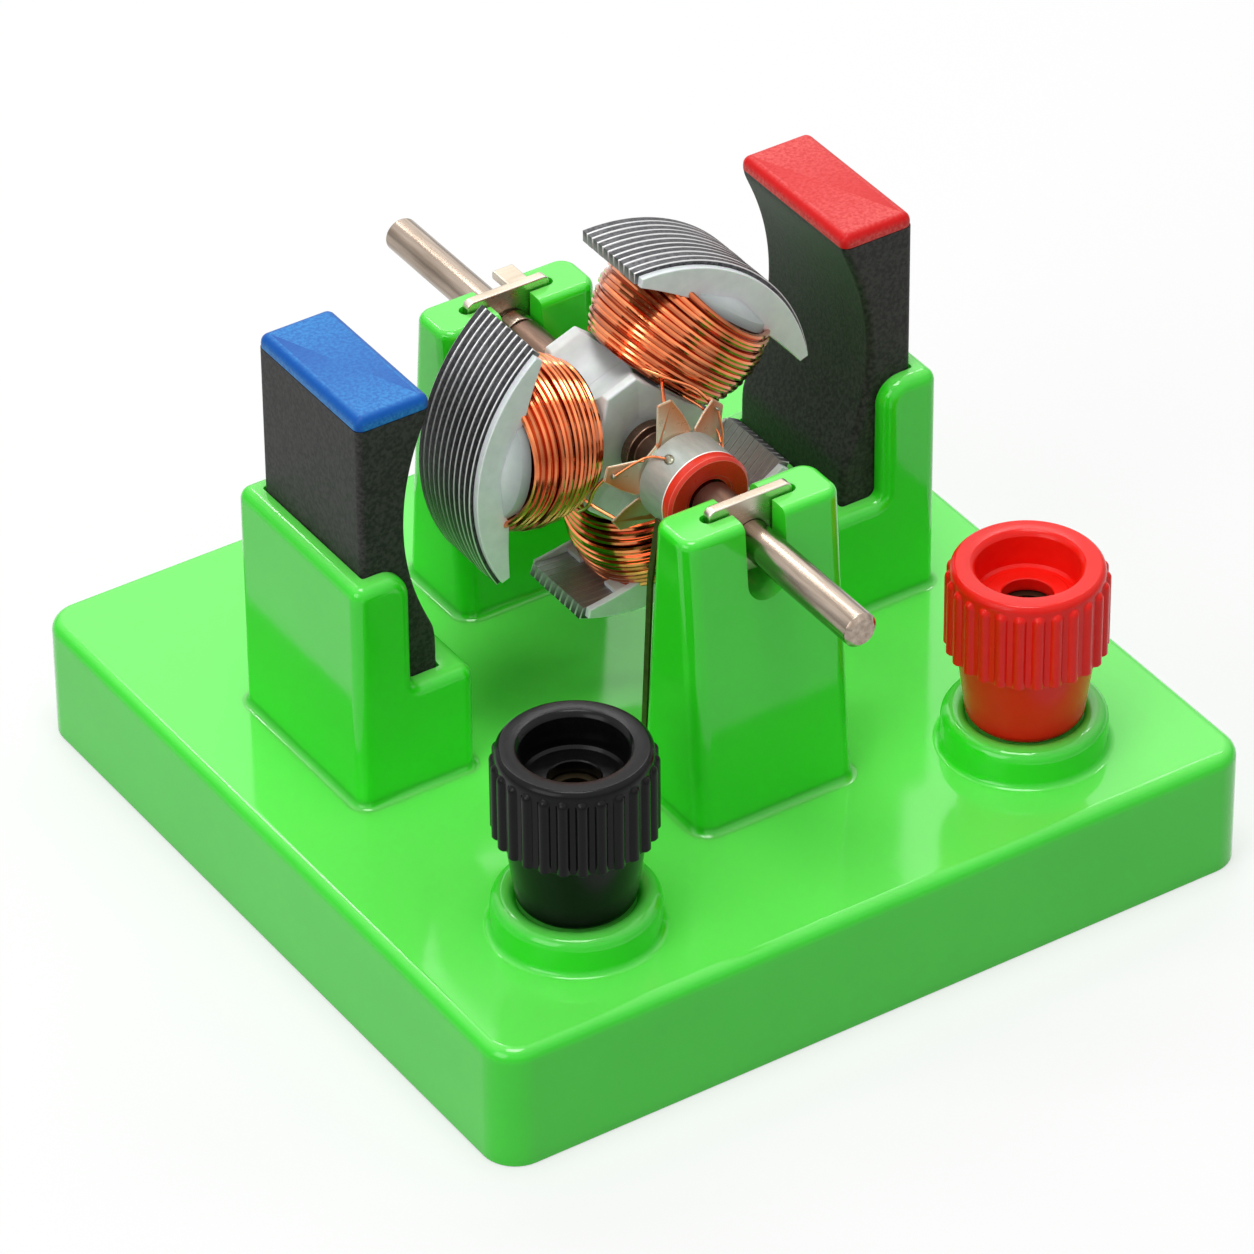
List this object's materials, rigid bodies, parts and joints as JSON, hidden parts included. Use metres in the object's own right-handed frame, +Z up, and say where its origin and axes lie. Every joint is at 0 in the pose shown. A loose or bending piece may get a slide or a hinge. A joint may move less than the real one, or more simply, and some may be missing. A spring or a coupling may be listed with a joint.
{
  "type": "demonstration electric motor",
  "caption": "Open direct-current demonstration motor: a three-pole wound rotor between two upright magnets on a square moulded base with two plug terminals.",
  "frame": {"origin": "middle of the base's underside, on the surface that the motor stands on", "axes": "+X towards the red terminal and the red magnet, +Y along the shaft from the commutator towards the rear, +Z up"},
  "size_m": [0.095, 0.094, 0.0686],
  "materials": {
    "green_moulding": "bright green glossy injection moulding",
    "plate_steel": "stamped steel",
    "shaft_steel": "ground steel rod",
    "zinc_steel": "zinc plated",
    "lamination_steel": "stacked dark electrical steel sheets",
    "ferrite": "dark grey sintered ferrite",
    "blue_cap": "satin blue coat",
    "red_cap": "satin red coat",
    "spring_brass": "thin spring strip",
    "stud_brass": "turned brass",
    "copper": "enamelled copper wire",
    "tinned_copper": "tinned copper sheet",
    "white_insulator": "pale insulating board",
    "dark_insulator": "brown insulating tube",
    "red_fibre": "red fibre ring",
    "black_plastic": "glossy black",
    "red_plastic": "glossy red",
    "black_lead": "black insulated wire",
    "red_lead": "red insulated wire"
  },
  "bodies": {
    "stand": {"base_plate": "green_moulding", "socket_left": "green_moulding", "socket_right": "green_moulding", "pillar_front": "green_moulding", "pillar_rear": "green_moulding", "bearing_plate_front": "plate_steel", "bearing_plate_rear": "plate_steel", "magnet_left": "ferrite", "magnet_right": "ferrite", "cap_blue": "blue_cap", "cap_red": "red_cap", "brush_left": "spring_brass", "brush_right": "spring_brass", "stud_black": "stud_brass", "stud_red": "stud_brass", "bush_black": "black_plastic", "bush_red": "red_plastic", "terminal_washers": "zinc_steel", "terminal_nuts": "zinc_steel", "solder_lugs": "zinc_steel", "hookup_left": "black_lead", "hookup_right": "red_lead"},
    "rotor": {"shaft": "shaft_steel", "core_stack": "lamination_steel", "insulator_front": "white_insulator", "insulator_rear": "white_insulator", "winding_core_a": "copper", "winding_core_b": "copper", "winding_core_c": "copper", "winding_a": "copper", "winding_b": "copper", "winding_c": "copper", "winding_leads": "copper", "commutator_body": "dark_insulator", "commutator_segments": "tinned_copper", "riser_tabs": "tinned_copper", "commutator_ring": "red_fibre", "spacer_hub": "dark_insulator", "spacer_front": "dark_insulator", "spacer_rear": "dark_insulator", "thrust_collar": "plate_steel"},
    "black_insert": {"insert_black": "stud_brass"},
    "black_cap": {"screw_cap_black": "black_plastic"},
    "red_insert": {"insert_red": "stud_brass"},
    "red_cap": {"screw_cap_red": "red_plastic"}
  },
  "joints": [
    {"name": "rotor_spin", "type": "hinge", "parent": "stand", "child": "rotor", "pos_m": [0, 0, 0.047], "axis": [0, 1, 0], "continuous": true},
    {"name": "black_cap_rise", "type": "slide", "parent": "stand", "child": "black_insert", "axis": [0, 0, 1], "range_m": [0, 0.003]},
    {"name": "black_cap_turn", "type": "hinge", "parent": "black_insert", "child": "black_cap", "pos_m": [-0.0285, -0.0318, 0.03], "axis": [0, 0, 1], "range_deg": [0, 1080]},
    {"name": "red_cap_rise", "type": "slide", "parent": "stand", "child": "red_insert", "axis": [0, 0, 1], "range_m": [0, 0.003]},
    {"name": "red_cap_turn", "type": "hinge", "parent": "red_insert", "child": "red_cap", "pos_m": [0.0285, -0.0318, 0.03], "axis": [0, 0, 1], "range_deg": [0, 1080]}
  ],
  "couplings": [
    {"joint": "black_cap_rise", "follows": "black_cap_turn", "m_per_rad": 0.00015915},
    {"joint": "red_cap_rise", "follows": "red_cap_turn", "m_per_rad": 0.00015915}
  ]
}
